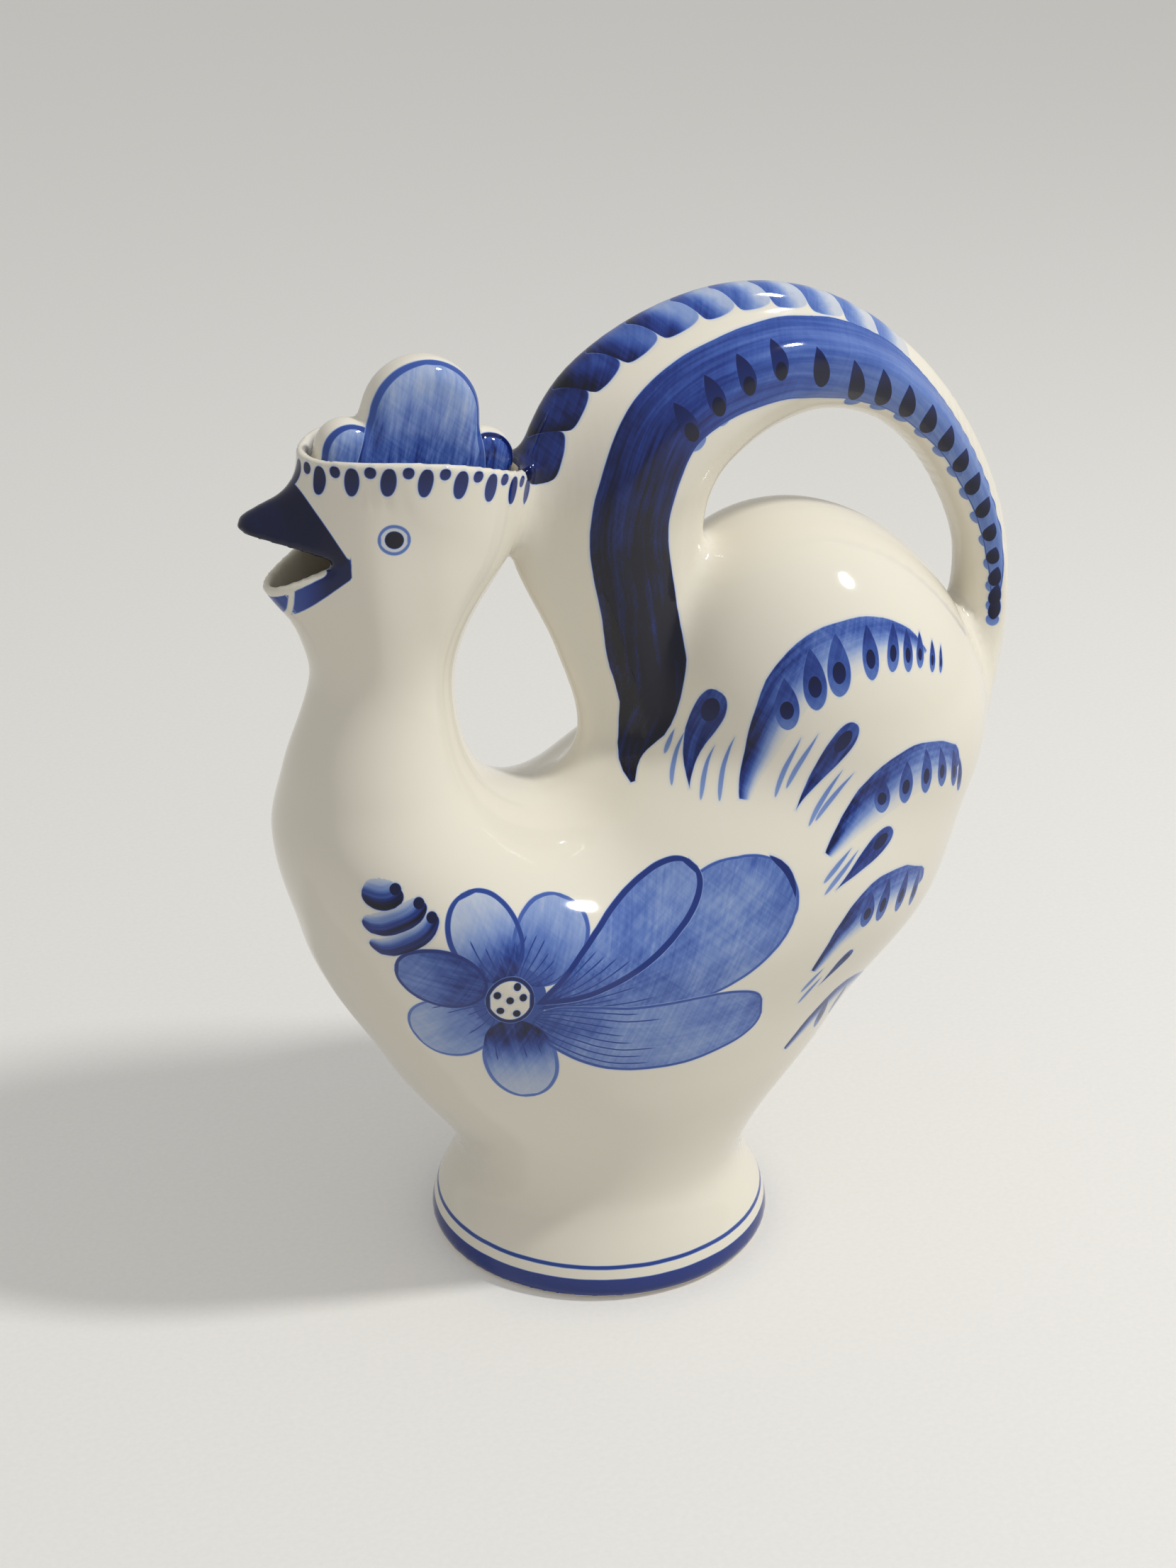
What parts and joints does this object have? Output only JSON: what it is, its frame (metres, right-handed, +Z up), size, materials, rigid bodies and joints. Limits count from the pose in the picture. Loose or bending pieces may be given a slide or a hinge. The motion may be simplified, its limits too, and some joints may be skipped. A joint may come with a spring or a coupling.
{
  "type": "carafe",
  "caption": "Hollow rooster-shaped ceramic carafe with an open beak that pours, a tail arch as its handle and a loose comb-shaped lid in the head's mouth.",
  "frame": {"origin": "middle of the footprint's box, on the surface that the foot stands on", "axes": "+Z up, +X towards the tail and -X towards the beak, Y = 0 is the plane of symmetry"},
  "size_m": [0.213, 0.1056, 0.2599],
  "materials": {
    "glaze": "warm white gloss glaze over ceramic, painted in cobalt blue",
    "cobalt_glaze": "cobalt blue brushwork under gloss glaze"
  },
  "bodies": {
    "carafe": {"carafe_body": "glaze"},
    "lid": {"comb_lid": "cobalt_glaze"}
  },
  "joints": [
    {"name": "lid_lift", "type": "slide", "parent": "carafe", "child": "lid", "axis": [0.1736, 0, 0.9848], "range_m": [0, 0.05]}
  ]
}
